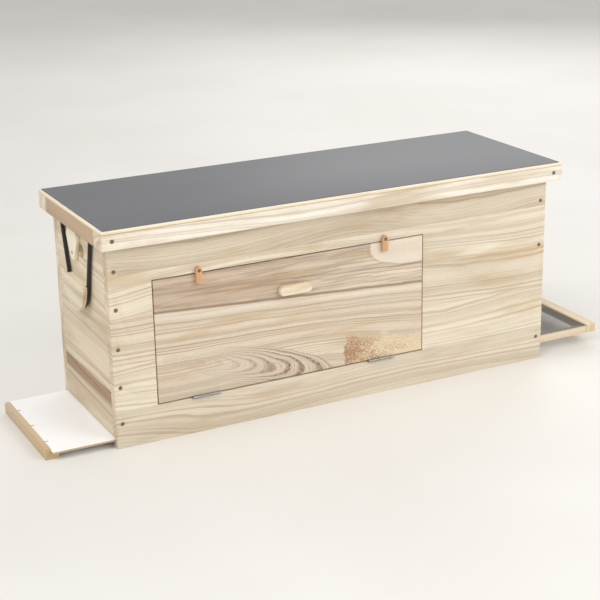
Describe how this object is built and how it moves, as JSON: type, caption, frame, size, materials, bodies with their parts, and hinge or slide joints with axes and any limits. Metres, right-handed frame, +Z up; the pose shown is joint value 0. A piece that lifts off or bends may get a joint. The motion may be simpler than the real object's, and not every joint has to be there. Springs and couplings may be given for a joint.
{
  "type": "long horizontal beehive",
  "caption": "Long wooden beehive with a flat lift-off lid, a bottom-hinged observation door, a slide-out tray and a slide-out mesh floor.",
  "frame": {"origin": "middle of the box's footprint, on the surface it stands on, under the middle crosspiece", "axes": "+X along the box from the entrance end to the mesh floor's end, -Y towards the observation door, +Z up"},
  "size_m": [1.307, 0.366, 0.4503],
  "materials": {
    "paulownia": "planed, edge-glued, uncoated",
    "paulownia_rim": "planed, uncoated",
    "figured_paulownia": "planed, figured, uncoated",
    "beech": "sanded",
    "maple": "sanded",
    "inner_softwood": "sawn and planed",
    "birch_ply": "bare bevelled edge",
    "grey_film": "smooth matt film",
    "softboard": "rough wood fibre",
    "white_board": "smooth white coating",
    "steel": "bright zinc",
    "brown_screw": "dark, dull",
    "steel_mesh": "woven wire",
    "clear_pane": "clear",
    "black_elastic": "braided cover over rubber",
    "wax_foundation": "pressed beeswax"
  },
  "bodies": {
    "hive_body": {"front_board": "paulownia", "back_board": "paulownia", "left_end_board": "paulownia", "right_end_board": "paulownia", "right_bottom_rail": "paulownia", "crosspiece_left": "inner_softwood", "crosspiece_middle": "inner_softwood", "crosspiece_right": "inner_softwood", "mesh_runner_front": "inner_softwood", "mesh_runner_back": "inner_softwood", "mesh_guide_front": "inner_softwood", "mesh_guide_back": "inner_softwood", "window_pane": "clear_pane", "cleat_left": "paulownia", "cleat_right": "paulownia", "button_screw_left": "brown_screw", "button_screw_right": "brown_screw", "cover_screw": "brown_screw", "hinge_left_fixed_leaf": "steel", "hinge_right_fixed_leaf": "steel", "hinge_left_pin": "steel", "hinge_right_pin": "steel", "division_board": "inner_softwood", "comb_frame_1": "inner_softwood", "comb_frame_2": "inner_softwood", "comb_frame_3": "inner_softwood", "comb_frame_4": "inner_softwood", "comb_frame_5": "inner_softwood", "comb_frame_6": "inner_softwood", "foundation_1": "wax_foundation", "foundation_2": "wax_foundation", "foundation_3": "wax_foundation", "foundation_4": "wax_foundation", "foundation_5": "wax_foundation", "foundation_6": "wax_foundation"},
    "lid": {"lid_front_rim": "paulownia_rim", "lid_back_rim": "paulownia_rim", "lid_left_rim": "paulownia_rim", "lid_right_rim": "paulownia_rim", "lid_panel": "birch_ply", "lid_facing": "grey_film", "lid_insulation": "softboard"},
    "elastic_left": {"elastic_loop_left": "black_elastic"},
    "elastic_right": {"elastic_loop_right": "black_elastic"},
    "door": {"door_panel": "figured_paulownia", "door_pull": "maple", "hinge_left_door_leaf": "steel", "hinge_right_door_leaf": "steel"},
    "button_left": {"turn_button_left": "beech"},
    "button_right": {"turn_button_right": "beech"},
    "cover": {"entrance_cover": "maple"},
    "tray": {"tray_plate": "white_board", "tray_lath": "paulownia_rim"},
    "mesh_floor": {"mesh_end_lath": "paulownia_rim", "mesh_front_rail": "paulownia_rim", "mesh_back_rail": "paulownia_rim", "mesh_inner_rail": "paulownia_rim", "mesh_sheet": "steel_mesh"}
  },
  "joints": [
    {"name": "lid_lift", "type": "slide", "parent": "hive_body", "child": "lid", "axis": [0, 0, 1], "range_m": [0, 0.2]},
    {"name": "loop_left_swing", "type": "hinge", "parent": "lid", "child": "elastic_left", "pos_m": [-0.505, 0, 0.4063], "axis": [0, 1, 0], "range_deg": [0, 60], "deforming": ["elastic_loop_left"]},
    {"name": "loop_right_swing", "type": "hinge", "parent": "lid", "child": "elastic_right", "pos_m": [0.505, 0, 0.4063], "axis": [0, -1, 0], "range_deg": [0, 60], "deforming": ["elastic_loop_right"]},
    {"name": "door_hinge", "type": "hinge", "parent": "hive_body", "child": "door", "pos_m": [-0.11, -0.15595, 0.0766], "axis": [1, 0, 0], "range_deg": [0, 105]},
    {"name": "button_left_turn", "type": "hinge", "parent": "hive_body", "child": "button_left", "pos_m": [-0.317, -0.158, 0.338], "axis": [0, -1, 0], "range_deg": [-100, 100]},
    {"name": "button_right_turn", "type": "hinge", "parent": "hive_body", "child": "button_right", "pos_m": [0.097, -0.158, 0.338], "axis": [0, -1, 0], "range_deg": [-100, 100]},
    {"name": "cover_turn", "type": "hinge", "parent": "hive_body", "child": "cover", "pos_m": [-0.5043, 0.022, 0.356], "axis": [1, 0, 0], "range_deg": [-20, 73]},
    {"name": "tray_slide", "type": "slide", "parent": "hive_body", "child": "tray", "axis": [-1, 0, 0], "range_m": [-0.127, 0.75]},
    {"name": "mesh_slide", "type": "slide", "parent": "hive_body", "child": "mesh_floor", "axis": [1, 0, 0], "range_m": [-0.168, 0.75]}
  ]
}
